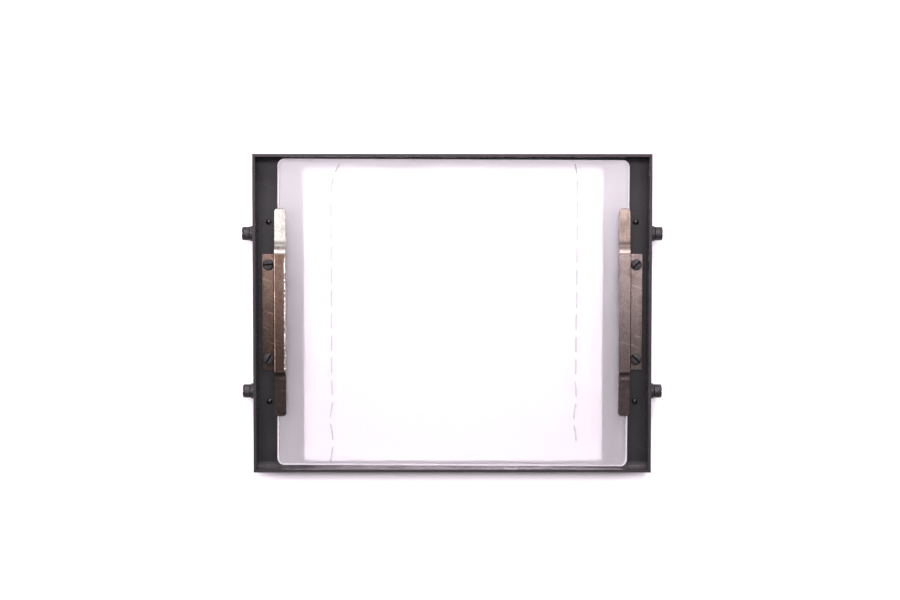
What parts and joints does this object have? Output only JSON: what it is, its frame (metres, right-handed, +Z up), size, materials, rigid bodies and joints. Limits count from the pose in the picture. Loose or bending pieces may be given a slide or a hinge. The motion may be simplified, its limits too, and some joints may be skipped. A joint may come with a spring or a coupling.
{
  "type": "sprung glass negative carrier",
  "caption": "Shallow black metal tray for a darkroom enlarger, with a frosted pressure glass over its light aperture, held down by sprung leaf clips, and guide rollers on its ends.",
  "frame": {"origin": "centre of the underside, in the middle of the light aperture", "axes": "+X along the tray's length, towards the right-hand pair of rollers; +Z up, out of the open face that the glass goes in by; +Y towards the rear long side"},
  "size_m": [0.1904, 0.144, 0.012],
  "materials": {
    "tray_enamel": "satin black enamel on sheet steel, worn at the rim",
    "glass": "anti-Newton glass, etched so that it looks milky, with polished top and ground edges",
    "spring_metal": "tarnished nickel-plated spring bronze, brushed along its length",
    "black_steel": "blackened turned steel",
    "rivet_black": "glossy black"
  },
  "bodies": {
    "tray": {"tray": "tray_enamel", "clip_left": "spring_metal", "clip_right": "spring_metal", "clip_screw_left_front": "black_steel", "clip_screw_left_rear": "black_steel", "clip_screw_right_front": "black_steel", "clip_screw_right_rear": "black_steel", "rivet_left_front": "rivet_black", "rivet_left_rear": "rivet_black", "rivet_right_front": "rivet_black", "rivet_right_rear": "rivet_black", "collar_left_front": "black_steel", "collar_left_rear": "black_steel", "collar_right_front": "black_steel", "collar_right_rear": "black_steel", "axle_screw_left_front": "black_steel", "axle_screw_left_rear": "black_steel", "axle_screw_right_front": "black_steel", "axle_screw_right_rear": "black_steel"},
    "glass": {"pressure_glass": "glass"},
    "finger_left_front": {"clip_finger_left_front": "spring_metal"},
    "roller_left_front": {"roller_left_front": "black_steel"},
    "finger_left_rear": {"clip_finger_left_rear": "spring_metal"},
    "roller_left_rear": {"roller_left_rear": "black_steel"},
    "finger_right_front": {"clip_finger_right_front": "spring_metal"},
    "roller_right_front": {"roller_right_front": "black_steel"},
    "finger_right_rear": {"clip_finger_right_rear": "spring_metal"},
    "roller_right_rear": {"roller_right_rear": "black_steel"}
  },
  "joints": [
    {"name": "glass_rise", "type": "slide", "parent": "tray", "child": "glass", "axis": [0, 0, 1], "range_m": [0, 0.0012], "stiffness_N_per_m": 8000, "springref_m": -0.0005},
    {"name": "finger_left_front_flex", "type": "hinge", "parent": "tray", "child": "finger_left_front", "pos_m": [-0.0779, -0.02605, 0.0107], "axis": [-1, 0, 0], "range_deg": [0, 3.5]},
    {"name": "finger_left_rear_flex", "type": "hinge", "parent": "tray", "child": "finger_left_rear", "pos_m": [-0.0779, 0.02685, 0.0107], "axis": [1, 0, 0], "range_deg": [0, 3.5]},
    {"name": "finger_right_front_flex", "type": "hinge", "parent": "tray", "child": "finger_right_front", "pos_m": [0.0779, -0.02605, 0.0107], "axis": [-1, 0, 0], "range_deg": [0, 3.5]},
    {"name": "finger_right_rear_flex", "type": "hinge", "parent": "tray", "child": "finger_right_rear", "pos_m": [0.0779, 0.02685, 0.0107], "axis": [1, 0, 0], "range_deg": [0, 3.5]},
    {"name": "roller_left_front_spin", "type": "hinge", "parent": "tray", "child": "roller_left_front", "pos_m": [-0.09305, -0.0354, 0.0066], "axis": [-1, 0, 0], "continuous": true},
    {"name": "roller_left_rear_spin", "type": "hinge", "parent": "tray", "child": "roller_left_rear", "pos_m": [-0.09305, 0.0362, 0.0066], "axis": [-1, 0, 0], "continuous": true},
    {"name": "roller_right_front_spin", "type": "hinge", "parent": "tray", "child": "roller_right_front", "pos_m": [0.09305, -0.0354, 0.0066], "axis": [1, 0, 0], "continuous": true},
    {"name": "roller_right_rear_spin", "type": "hinge", "parent": "tray", "child": "roller_right_rear", "pos_m": [0.09305, 0.0362, 0.0066], "axis": [1, 0, 0], "continuous": true}
  ],
  "couplings": [
    {"joint": "finger_left_front_flex", "follows": "glass_rise", "rad_per_m": 50.8},
    {"joint": "finger_left_rear_flex", "follows": "glass_rise", "rad_per_m": 50.8},
    {"joint": "finger_right_front_flex", "follows": "glass_rise", "rad_per_m": 50.8},
    {"joint": "finger_right_rear_flex", "follows": "glass_rise", "rad_per_m": 50.8}
  ]
}
